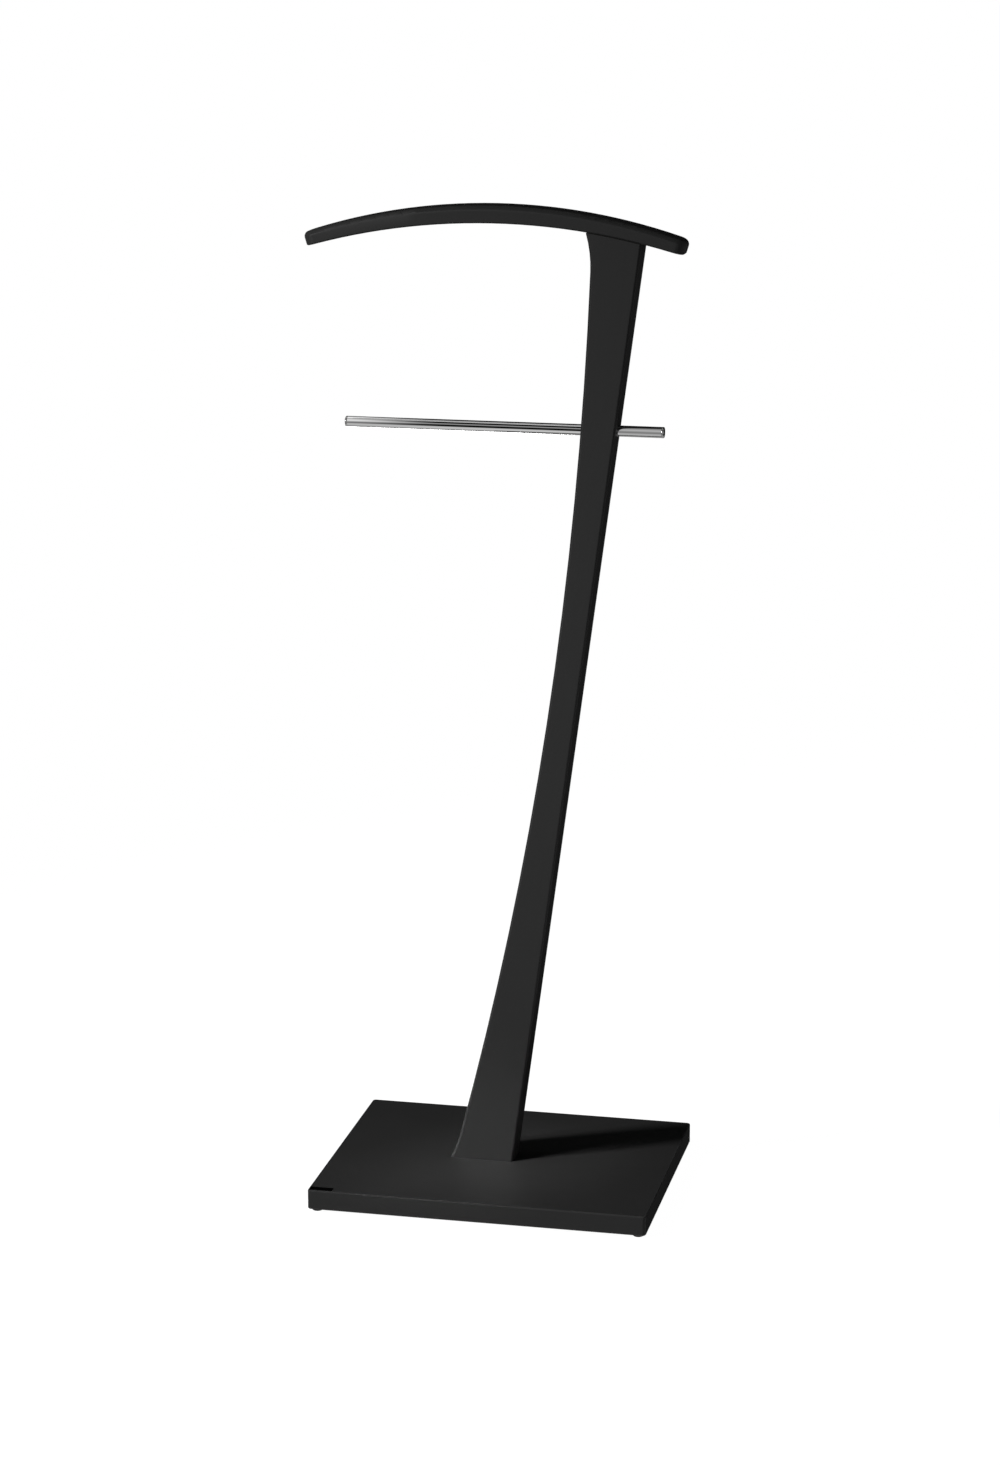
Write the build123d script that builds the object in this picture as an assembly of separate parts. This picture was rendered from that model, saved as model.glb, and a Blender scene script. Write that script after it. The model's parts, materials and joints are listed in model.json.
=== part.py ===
from build123d import *
from math import atan2, cos, radians, sin, sqrt, tan
import os

# A free-standing valet stand: a low board, one leaning flat stem, an arched hanger for a
# jacket on the stem's curved seat, and a round bar for trousers through the stem.
#
# Millimetres. +Z is up and Z = 0 is the floor. X runs along the hanger, Y from front to back.
# The origin is on the floor, under the middle of the hanger.

# ---------------------------------------------------------------- driving sizes

# Base board, with eased edges. Its middle, like the bar's, stands to the right of the hanger's.
board_width = 381.0
board_depth = 301.0
board_thickness = 22.5
board_corner_radius = 4.0
board_edge_radius = 1.5           # round its top
board_underside_bevel = 1.0
board_middle_x = 9.5

# Stem: a flat plank with one straight leaning edge and one hollow edge, on the board's centre line.
stem_thickness = 35.0
stem_foot_width = 69.0
stem_neck_width = 54.4
stem_straight_edge_x = 23.9       # where the straight edge meets the board
stem_lean = 7.56                  # degrees, of the straight edge
stem_hollow_radius = 4550.0       # the long hollow of the other edge
stem_flare_radius = 130.0         # the quicker curve at the hollow's two ends
stem_foot_flare = 26.0            # how far the flare reaches up from the board
stem_neck_flare = 41.0            # and down from the hanger
stem_edge_radius = 3.0
stem_seat_easing = 0.9            # rounded rim of the seat, which shows as a fine joint line

# Hanger: an arch that thins towards its ends, cut square to the arch and rounded all over.
hanger_length = 420.0             # over the square-cut top corners, before rounding
hanger_depth = 35.0
hanger_middle_height = 18.9
hanger_underside_radius = 730.0
hanger_top_radius = 662.0
hanger_underside_height = 1057.5  # of the arch's middle, above the board
hanger_end_radius = 12.0          # rounding in plan
hanger_top_edge_radius = 6.0
hanger_bottom_edge_radius = 2.0

# Trouser bar: a tube with a cap in each end.
bar_diameter = 12.0
bar_wall = 1.2
bar_length = 352.0                # over the caps
bar_height = 837.0                # of its axis, above the board
cap_rim = 2.2
cap_spigot = 9.0
cap_edge_bevel = 1.0
cap_spigot_bevel = 0.8

# Screw that holds the bar, in a threaded sleeve from the back of the stem.
set_screw_diameter = 5.0
set_screw_length = 10.0
set_screw_socket = 2.5            # across flats
set_screw_socket_depth = 3.0
set_sleeve_diameter = 8.0
set_sleeve_length = 10.0

# Bolts up through the board into threaded sleeves in the stem's foot.
bolt_diameter = 8.0
bolt_length = 35.0
bolt_head_diameter = 13.0
bolt_head_height = 8.0
bolt_head_bevel = 0.8
bolt_socket = 6.0                 # across flats
bolt_socket_depth = 4.0
bolt_spacing = 32.0
bolt_shift = 3.0                  # towards the side the stem leans to
bolt_hole_clearance = 0.25
washer_diameter = 16.0
washer_thickness = 1.6
counterbore_depth = 12.0
counterbore_clearance = 1.0
foot_sleeve_diameter = 12.0
foot_sleeve_length = 20.0
bolt_tip_clearance = 2.0

# Dowels between the stem and the hanger, square to the seat.
dowel_diameter = 8.0
dowel_length = 36.0
dowel_in_hanger = 11.0
dowel_spacing = 26.0
dowel_bevel = 0.8
dowel_end_clearance = 1.0

# Glides under the board's corners, sloped in to a flat ring, each with one screw.
glide_diameter = 13.0
glide_height = 3.2
glide_inset = 9.5                 # of its middle, from both edges of the board
glide_contact_diameter = 9.0
glide_rim_height = 1.0            # of its upright rim, before the shoulder
glide_shoulder_diameter = 11.8    # where its two slopes meet
glide_shoulder_height = 0.8       # above the floor
glide_screw_seat = 1.4            # plastic left between the screw's head and the board
glide_screw_diameter = 3.0
glide_screw_length = 14.0
glide_screw_head_diameter = 5.5
glide_screw_head_height = 1.4
glide_screw_slot = 0.8
glide_screw_slot_depth = 0.7
glide_screw_point = 1.2           # bevel at the tip

# Plain strip near the board's front left corner.
strip_length = 26.0
strip_width = 9.0
strip_thickness = 0.4
strip_corner_radius = 0.8

# Clearance all round what sits in a hole or on a curved seat.
fit_clearance = 0.05
drill_relief = 0.4                # a glide screw's pilot hole is this much deeper than the screw
cutter_margin = 10.0              # what cuts right through a piece stands this far out of it

# ---------------------------------------------------------------- places that follow from them

deck_z = glide_height + board_thickness
bar_z = deck_z + bar_height
arch_apex_z = deck_z + hanger_underside_height
arch_centre_z = arch_apex_z - hanger_underside_radius
top_centre_z = arch_apex_z + hanger_middle_height - hanger_top_radius
glide_x = board_width / 2 - glide_inset
glide_y = board_depth / 2 - glide_inset


def circle_x(centre_x, centre_z, radius, z):
    """The right-hand x of a circle at the height z."""
    return centre_x + sqrt(radius**2 - (z - centre_z) ** 2)


def arc_z(centre_z, radius, x):
    """The height of an arch about (0, centre_z) at x."""
    return centre_z + sqrt(radius**2 - x**2)


def straight_edge_x(z):
    """The x of the stem's straight edge at the height z."""
    return stem_straight_edge_x + (z - deck_z) * tan(radians(stem_lean))


neck_z = arc_z(arch_centre_z, hanger_underside_radius, straight_edge_x(arch_apex_z))


def hollow_circle():
    """Centre of the long hollow: it passes through the foot's and the neck's left corners."""
    foot = Vector(stem_straight_edge_x - stem_foot_width, deck_z)
    neck = Vector(straight_edge_x(neck_z) - stem_neck_width, neck_z)
    chord = neck - foot
    offset = sqrt(stem_hollow_radius**2 - (chord.length / 2) ** 2)
    outwards = Vector(-chord.Y, chord.X).normalized()
    centre = (foot + neck) * 0.5 + outwards * offset
    return centre.X, centre.Y


hollow_x, hollow_z = hollow_circle()


def hollow_edge_x(z):
    """The x of the long hollow at the height z."""
    return circle_x(hollow_x, hollow_z, stem_hollow_radius, z)


def stem_middle_x(z):
    """The middle of the stem's width at the height z, away from its flares."""
    return (hollow_edge_x(z) + straight_edge_x(z)) / 2


def flare_circle(z):
    """Centre of the small circle that touches the long hollow at the height z."""
    touch_x = hollow_edge_x(z)
    share = stem_flare_radius / stem_hollow_radius
    return touch_x + (hollow_x - touch_x) * share, z + (hollow_z - z) * share


def hollow_arc(centre_x, centre_z, radius, low_z, high_z):
    """The stretch of a circle's right side between two heights."""
    heights = (low_z, (low_z + high_z) / 2, high_z)
    return ThreePointArc(*[(circle_x(centre_x, centre_z, radius, z), z) for z in heights])


def hole(diameter, depth):
    """A drilled hole as a solid: its mouth is at Z = 0 and it runs down."""
    return Cylinder(diameter / 2, depth, align=(Align.CENTER, Align.CENTER, Align.MAX))


def rod(diameter, length):
    """A plain round rod that stands on Z = 0."""
    return Cylinder(diameter / 2, length, align=(Align.CENTER, Align.CENTER, Align.MIN))


def hex_socket(across_flats, depth):
    """A hexagon socket as a solid: its mouth is at Z = 0 and it runs down."""
    outline = RegularPolygon(across_flats / 2, 6, major_radius=False)
    return extrude(outline, amount=-depth)


# ---------------------------------------------------------------- places of the fasteners

bolt_middle_x = stem_straight_edge_x - stem_foot_width / 2 + bolt_shift
bolt_x = {"left": bolt_middle_x - bolt_spacing / 2, "right": bolt_middle_x + bolt_spacing / 2}
bolt_seat_z = glide_height + counterbore_depth
bolt_tip_z = bolt_seat_z - washer_thickness + bolt_length

seat_angle = atan2(stem_middle_x(neck_z), neck_z - arch_centre_z)
seat_plane = Plane(
    origin=(
        hanger_underside_radius * sin(seat_angle),
        0,
        arch_centre_z + hanger_underside_radius * cos(seat_angle),
    ),
    x_dir=(cos(seat_angle), 0, -sin(seat_angle)),
    z_dir=(sin(seat_angle), 0, cos(seat_angle)),
)
dowel_along = {"left": -dowel_spacing / 2, "right": dowel_spacing / 2}
dowel_in_stem = dowel_length - dowel_in_hanger

# Its Z points out of the stem's back face, on the bar's height.
set_screw_plane = Plane(
    origin=(stem_middle_x(bar_z), stem_thickness / 2, bar_z),
    x_dir=(1, 0, 0),
    z_dir=(0, 1, 0),
)
set_screw_tip = stem_thickness / 2 - bar_diameter / 2 - fit_clearance / 2

# Corners of the board: name, side and end.
corners = {
    "front_left": (-1, -1),
    "front_right": (1, -1),
    "back_left": (-1, 1),
    "back_right": (1, 1),
}


def corner_place(name, z):
    """A place under the board's corner at the height z."""
    side, end = corners[name]
    return Pos(board_middle_x + side * glide_x, end * glide_y, z)


# ---------------------------------------------------------------- base board


def base_board():
    board = Box(board_width, board_depth, board_thickness)
    board = fillet(board.edges().filter_by(Axis.Z), board_corner_radius)
    board = fillet(board.faces().sort_by(Axis.Z)[-1].edges(), board_edge_radius)
    board = chamfer(board.faces().sort_by(Axis.Z)[0].edges(), board_underside_bevel)
    board = Pos(board_middle_x, 0, glide_height + board_thickness / 2) * board
    for x in bolt_x.values():
        shank = hole(bolt_diameter + 2 * bolt_hole_clearance, board_thickness)
        counterbore = rod(washer_diameter + 2 * counterbore_clearance, counterbore_depth)
        board -= Pos(x, 0, deck_z) * shank
        board -= Pos(x, 0, glide_height) * counterbore
    pilot_depth = glide_screw_length - glide_screw_seat + drill_relief
    pilot = rod(glide_screw_diameter + 2 * fit_clearance, pilot_depth)
    for name in corners:
        board -= corner_place(name, glide_height) * pilot
    return board


# ---------------------------------------------------------------- stem


def stem_outline():
    """The plank's front outline, left a little too tall for the seat to be cut in."""
    top_z = arch_apex_z
    foot_flare_z = deck_z + stem_foot_flare
    seat_left_z = arc_z(arch_centre_z, hanger_underside_radius, hollow_edge_x(neck_z))
    neck_flare_z = seat_left_z - stem_neck_flare
    foot_flare = hollow_arc(*flare_circle(foot_flare_z), stem_flare_radius, deck_z, foot_flare_z)
    hollow = hollow_arc(hollow_x, hollow_z, stem_hollow_radius, foot_flare_z, neck_flare_z)
    neck_flare = hollow_arc(*flare_circle(neck_flare_z), stem_flare_radius, neck_flare_z, top_z)
    rest = Polyline(
        neck_flare @ 1,
        (straight_edge_x(top_z), top_z),
        (stem_straight_edge_x, deck_z),
        foot_flare @ 0,
    )
    return foot_flare + hollow + neck_flare + rest


def above_the_arch(clearance):
    """What the stem loses to its curved seat: a block over the hanger's underside."""
    depth = stem_thickness + 2 * cutter_margin
    height = hanger_underside_radius + hanger_middle_height
    block = Box(hanger_length, depth, height, align=(Align.CENTER, Align.CENTER, Align.MIN))
    drum = Cylinder(hanger_underside_radius - clearance, depth + cutter_margin, rotation=(90, 0, 0))
    return Pos(0, 0, arch_centre_z) * (block - drum)


def stem():
    outline = make_face(Plane.XZ * stem_outline())
    plank = extrude(outline, amount=stem_thickness / 2, both=True)
    upright = plank.edges().filter_by(lambda edge: edge.bounding_box().size.Z > board_edge_radius)
    plank = fillet(upright, stem_edge_radius)
    plank -= above_the_arch(fit_clearance)
    seat = plank.faces().sort_by(Axis.Z)[-1]
    plank = fillet(seat.edges(), stem_seat_easing)
    plank -= Pos(stem_middle_x(bar_z), 0, bar_z) * Cylinder(
        bar_diameter / 2 + fit_clearance, stem_foot_width + 2 * cutter_margin, rotation=(0, 90, 0)
    )
    set_sleeve_hole = hole(set_sleeve_diameter + 2 * fit_clearance, stem_thickness / 2)
    plank -= set_screw_plane * set_sleeve_hole
    tip_hole_depth = bolt_tip_z - deck_z + bolt_tip_clearance
    for x in bolt_x.values():
        plank -= Pos(x, 0, deck_z) * rod(foot_sleeve_diameter + 2 * fit_clearance, foot_sleeve_length)
        plank -= Pos(x, 0, deck_z) * rod(bolt_diameter + 2 * fit_clearance, tip_hole_depth)
    for along in dowel_along.values():
        socket = hole(dowel_diameter + 2 * fit_clearance, dowel_in_stem + dowel_end_clearance)
        plank -= seat_plane * Pos(along, 0, 0) * socket
    return plank


# ---------------------------------------------------------------- hanger


def hanger():
    corner_x = hanger_length / 2
    corner_z = arc_z(top_centre_z, hanger_top_radius, corner_x)
    end_angle = atan2(corner_x, corner_z - arch_centre_z)
    lower_x = hanger_underside_radius * sin(end_angle)
    lower_z = arc_z(arch_centre_z, hanger_underside_radius, lower_x)
    underside = ThreePointArc((-lower_x, lower_z), (0, arch_apex_z), (lower_x, lower_z))
    back = ThreePointArc(
        (corner_x, corner_z), (0, arch_apex_z + hanger_middle_height), (-corner_x, corner_z)
    )
    ends = Line(underside @ 1, back @ 0) + Line(back @ 1, underside @ 0)
    outline = make_face(Plane.XZ * (underside + back + ends))
    arch = extrude(outline, amount=hanger_depth / 2, both=True)
    end_edges = arch.edges().filter_by(GeomType.LINE).filter_by(Axis.Y, reverse=True)
    arch = fillet(end_edges, hanger_end_radius)
    arch = fillet(arch.faces().sort_by(Axis.Z)[-1].edges(), hanger_top_edge_radius)
    under = arch.faces().filter_by(GeomType.CYLINDER).sort_by(SortBy.AREA)
    under = [face for face in under if abs(face.radius - hanger_underside_radius) < fit_clearance]
    arch = fillet(under[-1].edges(), hanger_bottom_edge_radius)
    for along in dowel_along.values():
        socket = rod(dowel_diameter + 2 * fit_clearance, dowel_length + dowel_end_clearance)
        arch -= seat_plane * Pos(along, 0, -dowel_in_stem) * socket
    return arch


def hanger_dowel(side):
    dowel = chamfer(rod(dowel_diameter, dowel_length).edges(), dowel_bevel)
    return seat_plane * Pos(dowel_along[side], 0, -dowel_in_stem) * dowel


# ---------------------------------------------------------------- trouser bar


def trouser_bar():
    length = bar_length - 2 * cap_rim
    tube = Cylinder(bar_diameter / 2, length) - Cylinder(bar_diameter / 2 - bar_wall, length)
    return Pos(board_middle_x, 0, bar_z) * Rot(0, 90, 0) * tube


def bar_cap(side):
    """A turned plug: a rim as wide as the bar, and a spigot inside it."""
    rim = rod(bar_diameter, cap_rim)
    rim = chamfer(rim.edges().sort_by(Axis.Z)[-1], cap_edge_bevel)
    spigot = hole(bar_diameter - 2 * bar_wall - 2 * fit_clearance, cap_spigot)
    spigot = chamfer(spigot.edges().sort_by(Axis.Z)[0], cap_spigot_bevel)
    end_x = board_middle_x + side * (bar_length / 2 - cap_rim)
    return Pos(end_x, 0, bar_z) * Rot(0, 90 * side, 0) * (rim + spigot)


def bar_set_screw():
    screw = rod(set_screw_diameter, set_screw_length)
    screw -= Pos(0, 0, set_screw_length) * hex_socket(set_screw_socket, set_screw_socket_depth)
    return set_screw_plane * Pos(0, 0, -set_screw_tip) * screw


def bar_set_screw_sleeve():
    sleeve = hole(set_sleeve_diameter, set_sleeve_length)
    sleeve -= hole(set_screw_diameter + 2 * fit_clearance, set_sleeve_length)
    return set_screw_plane * sleeve


# ---------------------------------------------------------------- bolts in the foot


def base_bolt(side):
    """A socket-head bolt, head down."""
    head = hole(bolt_head_diameter, bolt_head_height)
    head = chamfer(head.edges().sort_by(Axis.Z)[0], bolt_head_bevel)
    shank = rod(bolt_diameter, bolt_length)
    shank = chamfer(shank.edges().sort_by(Axis.Z)[-1], bolt_head_bevel)
    socket = Rot(180, 0, 0) * hex_socket(bolt_socket, bolt_socket_depth)
    bolt = head + shank - Pos(0, 0, -bolt_head_height) * socket
    return Pos(bolt_x[side], 0, bolt_seat_z - washer_thickness) * bolt


def base_washer(side):
    washer = hole(washer_diameter, washer_thickness)
    washer -= hole(bolt_diameter + 2 * bolt_hole_clearance, washer_thickness)
    return Pos(bolt_x[side], 0, bolt_seat_z) * washer


def foot_sleeve(side):
    sleeve = rod(foot_sleeve_diameter, foot_sleeve_length)
    sleeve -= rod(bolt_diameter + 2 * fit_clearance, foot_sleeve_length)
    return Pos(bolt_x[side], 0, deck_z) * sleeve


# ---------------------------------------------------------------- glides


def glide():
    """A plastic foot that stands on Z = 0, with a recess for its screw's head."""
    outer = glide_diameter / 2
    contact = glide_contact_diameter / 2
    bore = glide_screw_diameter / 2 + fit_clearance
    recess = glide_screw_head_diameter / 2 + fit_clearance
    seat_z = glide_height - glide_screw_seat
    profile = Polyline(
        (outer, glide_height - glide_rim_height),
        (glide_shoulder_diameter / 2, glide_shoulder_height),
        (contact, 0),
        (recess, 0),
        (recess, seat_z),
        (bore, seat_z),
        (bore, glide_height),
        (outer, glide_height),
        close=True,
    )
    return revolve(make_face(Plane.XZ * profile), Axis.Z)


def glide_screw():
    """A pan-head screw, head down; its head's upper face is at Z = 0."""
    head = hole(glide_screw_head_diameter, glide_screw_head_height)
    slot = Box(
        glide_screw_head_diameter,
        glide_screw_slot,
        glide_screw_slot_depth,
        align=(Align.CENTER, Align.CENTER, Align.MIN),
    )
    head -= Pos(0, 0, -glide_screw_head_height) * slot
    shank = rod(glide_screw_diameter, glide_screw_length)
    shank = chamfer(shank.edges().sort_by(Axis.Z)[-1], glide_screw_point)
    return head + shank


# ---------------------------------------------------------------- plain strip


def corner_strip():
    strip = Box(strip_length, strip_width, strip_thickness, align=Align.MIN)
    strip = fillet(strip.edges().filter_by(Axis.Z), strip_corner_radius)
    left_x = board_middle_x - board_width / 2 + board_edge_radius
    return Pos(left_x, -board_depth / 2 + board_edge_radius, deck_z) * strip


# ---------------------------------------------------------------- all pieces

pieces = {
    "base_board": base_board(),
    "stem": stem(),
    "hanger": hanger(),
    "trouser_bar": trouser_bar(),
    "bar_cap_left": bar_cap(-1),
    "bar_cap_right": bar_cap(1),
    "bar_set_screw": bar_set_screw(),
    "bar_set_screw_sleeve": bar_set_screw_sleeve(),
    "corner_strip": corner_strip(),
}
for side in ("left", "right"):
    pieces["base_bolt_" + side] = base_bolt(side)
    pieces["base_washer_" + side] = base_washer(side)
    pieces["foot_sleeve_" + side] = foot_sleeve(side)
    pieces["hanger_dowel_" + side] = hanger_dowel(side)
for name in corners:
    pieces["glide_" + name] = corner_place(name, 0) * glide()
    screw_z = glide_height - glide_screw_seat
    pieces["glide_screw_" + name] = corner_place(name, screw_z) * glide_screw()

os.makedirs("parts", exist_ok=True)
for name, piece in pieces.items():
    export_step(piece, "parts/" + name + ".step")
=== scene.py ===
import json
from math import cos, pi, radians, sin

import bmesh
import bpy
from bpy.props import (
    FloatProperty,
    FloatVectorProperty,
    IntProperty,
    PointerProperty,
    StringProperty,
)
from mathutils import Matrix, Vector


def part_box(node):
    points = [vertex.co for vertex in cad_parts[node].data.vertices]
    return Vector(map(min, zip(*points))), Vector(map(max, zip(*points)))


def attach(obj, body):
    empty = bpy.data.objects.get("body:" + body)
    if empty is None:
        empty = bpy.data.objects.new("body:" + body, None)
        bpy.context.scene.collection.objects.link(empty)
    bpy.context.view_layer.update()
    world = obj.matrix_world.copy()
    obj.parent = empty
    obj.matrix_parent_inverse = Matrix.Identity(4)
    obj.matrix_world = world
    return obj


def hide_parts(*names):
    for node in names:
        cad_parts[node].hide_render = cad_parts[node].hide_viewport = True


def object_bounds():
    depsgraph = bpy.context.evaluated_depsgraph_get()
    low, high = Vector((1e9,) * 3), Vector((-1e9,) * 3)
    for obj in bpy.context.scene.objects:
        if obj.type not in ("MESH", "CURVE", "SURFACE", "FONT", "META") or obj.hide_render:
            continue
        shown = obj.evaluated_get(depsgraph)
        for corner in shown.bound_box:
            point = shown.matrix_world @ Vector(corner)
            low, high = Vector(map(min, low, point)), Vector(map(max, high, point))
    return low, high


bl_info = {
    "name": "Valet stand",
    "version": (1, 0, 0),
    "blender": (4, 5, 0),
    "location": "View3D > Sidebar > Valet stand",
    "description": "Finishes and studio for a lacquered valet stand with a chrome trouser bar",
    "category": "Object",
}

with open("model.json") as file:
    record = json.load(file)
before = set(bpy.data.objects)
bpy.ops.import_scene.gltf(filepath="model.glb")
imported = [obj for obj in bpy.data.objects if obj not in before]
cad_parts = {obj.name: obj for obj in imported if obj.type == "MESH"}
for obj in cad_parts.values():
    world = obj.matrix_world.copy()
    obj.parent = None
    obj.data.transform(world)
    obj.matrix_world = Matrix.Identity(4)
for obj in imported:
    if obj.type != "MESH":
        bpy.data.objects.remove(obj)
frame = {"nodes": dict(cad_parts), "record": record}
cad_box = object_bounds()

MM = 0.001
SHARP = 35  # degrees, by which faces turn at an edge that stays sharp
JOINED = 1e-7  # metres, points nearer than this are one
NEAR = 1e-6  # metres, a point nearer than this lies on a circle or a flat end
ON_CUT = 1e-9  # metres, a point nearer than this to a cutting plane isn't cut off
THREAD_DEPTH = 0.5  # of the pitch
THREAD_LAND = 0.1  # of the pitch, the bare core between two turns
THREAD_STEPS = 24  # in one turn of a thread
RUBBED_FROM = 10  # how soon the rubbing of a rounded edge starts beside its flats
NOISE_LOW, NOISE_HIGH = 0.3, 0.7  # most of a noise lies between these


# ---------------------------------------------------------------- settings


def length(name, description, default_mm):
    """A length in metres, given in millimetres."""
    return FloatProperty(
        name=name, description=description, default=default_mm * MM, unit="LENGTH", precision=5
    )


def angle(name, description, default_degrees):
    """An angle, given in degrees."""
    return FloatProperty(
        name=name, description=description, default=radians(default_degrees), subtype="ANGLE"
    )


def share(name, description, default):
    """A share from 0 to 1."""
    return FloatProperty(
        name=name, description=description, default=default, min=0, max=1, subtype="FACTOR"
    )


def amount(name, description, default, unit="NONE"):
    """A plain number, such as a distance in metres or a power in watts."""
    return FloatProperty(name=name, description=description, default=default, unit=unit)


def offset(name, description, default):
    """A step in metres away from a place that the frame gives."""
    return FloatVectorProperty(
        name=name, description=description, default=default, subtype="TRANSLATION"
    )


def count(name, description, default):
    """How many steps a full turn has."""
    return IntProperty(name=name, description=description, default=default, min=16)


def hex_colour(name, description, default):
    """A colour as an sRGB hex value."""
    return StringProperty(name=name, description=description, default=default)


class ValetFinish(bpy.types.PropertyGroup):
    """Colours and surface figures of the stand's materials."""

    lacquer: hex_colour("Lacquer", "Black pigmented lacquer", "1B1B1B")
    lacquer_roughness: share("Lacquer roughness", "Roughness of the satin lacquer", 0.5)
    cloud_size: length("Cloud size", "Size of the lacquer's duller and shinier patches", 83.3)
    cloud_depth: share("Cloud depth", "How much duller or shinier those patches are", 0.02)
    rubbing: share("Rubbing", "How much duller the rounded edges are than the flats", 0.5)
    peel_size: length("Orange peel", "Spacing of the sprayed lacquer's ripple", 3.0)
    peel_depth: length("Orange peel depth", "Height of the ripple", 0.02)
    grain_width: length("Grain width", "Width of the wood's lines under the lacquer", 0.8)
    grain_length: length("Grain length", "Length of the wood's lines", 32.0)
    grain_depth: length("Grain depth", "Height of the wood's lines", 0.01)
    chrome: hex_colour("Chrome", "Chrome plate", "C6C6C6")
    chrome_roughness: share("Chrome roughness", "Roughness of the polished plate", 0.02)
    hair_width: length("Hair width", "Width of the polishing's hair lines", 0.4)
    hair_length: length("Hair length", "Length of the hair lines", 33.3)
    zinc: hex_colour("Zinc", "Bright zinc plate on the steel fasteners", "B4B9BF")
    bloom_size: length("Zinc bloom", "Size of the plate's cloudy patches", 1.11)
    brass: hex_colour("Brass", "Turned brass of the threaded sleeves", "C9A45C")
    ring_width: length("Ring width", "Spacing of the lathe's rings", 0.2)
    ring_length: length("Ring length", "How far a ring runs before it fades", 1.67)
    ring_depth: length("Ring depth", "Height of the rings", 0.02)
    nylon: hex_colour("Nylon", "Moulded black nylon of the glides", "0C0C0C")
    pebble_size: length("Pebble size", "Size of the moulded skin's pebble", 0.333)
    pebble_depth: length("Pebble depth", "Height of the pebble", 0.03)
    beech: hex_colour("Beech", "Bare beech of the dowels", "C79F72")
    fleck_width: length("Fleck width", "Width of the beech's dark flecks", 0.455)
    fleck_length: length("Fleck length", "Length of the flecks", 3.85)
    fleck_depth: length("Fleck depth", "Height of the flecks' relief", 0.04)
    film: hex_colour("Film", "Gloss black film of the corner strip", "030303")
    tooth_size: length("Film tooth", "Size of the film's uneven patches", 0.4)


class ValetHardware(bpy.types.PropertyGroup):
    """Sizes of the small turned and moulded pieces that the boxes of the frame don't give."""

    running_fit: length("Fit", "Gap between a spigot or a screw and its bore", 0.05)
    tube_wall: length("Tube wall", "Wall of the trouser bar", 1.2)
    cap_easing: length("Cap easing", "Rounding of a cap's outer rim", 1.0)
    cap_joint: length("Cap joint", "Bevel beside the tube, which shows as a fine ring", 0.25)
    spigot_lead: length("Spigot lead", "Bevel round the end of a cap's spigot", 0.8)
    bolt_shank: length("Bolt shank", "Diameter of the bolts in the foot", 8.0)
    bolt_head: length("Bolt head", "Height of a bolt's head", 8.0)
    bolt_easing: length("Bolt easing", "Rounding of a bolt's head", 0.8)
    bolt_key: length("Bolt key", "Width across flats of a bolt's socket", 6.0)
    bolt_socket: length("Bolt socket", "Depth of a bolt's socket", 4.0)
    bolt_pitch: length("Bolt pitch", "Pitch of a bolt's thread", 1.25)
    set_key: length("Set screw key", "Width across flats of the set screw's socket", 2.5)
    set_socket: length("Set screw socket", "Depth of the set screw's socket", 3.0)
    set_pitch: length("Set screw pitch", "Pitch of the set screw's thread", 0.8)
    screw_shank: length("Glide screw shank", "Diameter of a glide's screw", 3.0)
    screw_head: length("Glide screw head", "Height of a glide screw's head", 1.4)
    screw_easing: length("Glide screw easing", "Rounding of a glide screw's head", 0.6)
    screw_point: length("Glide screw point", "Length of a glide screw's point", 1.2)
    screw_tip: length("Glide screw tip", "Radius of the blunt end of the point", 0.1)
    screw_pitch: length("Glide screw pitch", "Pitch of a glide screw's thread", 0.8)
    cross_length: length("Cross length", "Length of the cross in a glide screw's head", 3.0)
    cross_width: length("Cross width", "Width of the cross's arms", 0.7)
    cross_depth: length("Cross depth", "Depth of the cross", 0.8)
    glide_contact: length("Glide contact", "Diameter of a glide's flat ring", 9.0)
    glide_recess: length("Glide recess", "Diameter of the recess for the screw's head", 5.6)
    recess_easing: length("Recess easing", "Rounding of the recess's rim", 0.2)
    glide_seat: length("Glide seat", "Plastic between the screw's head and the board", 1.4)
    bar_steps: count("Bar and glide steps", "Steps round the bar, a cap or a glide", 64)
    bolt_steps: count("Bolt steps", "Steps round a bolt", 48)
    screw_steps: count("Screw steps", "Steps round the set screw or a glide's screw", 32)


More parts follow.
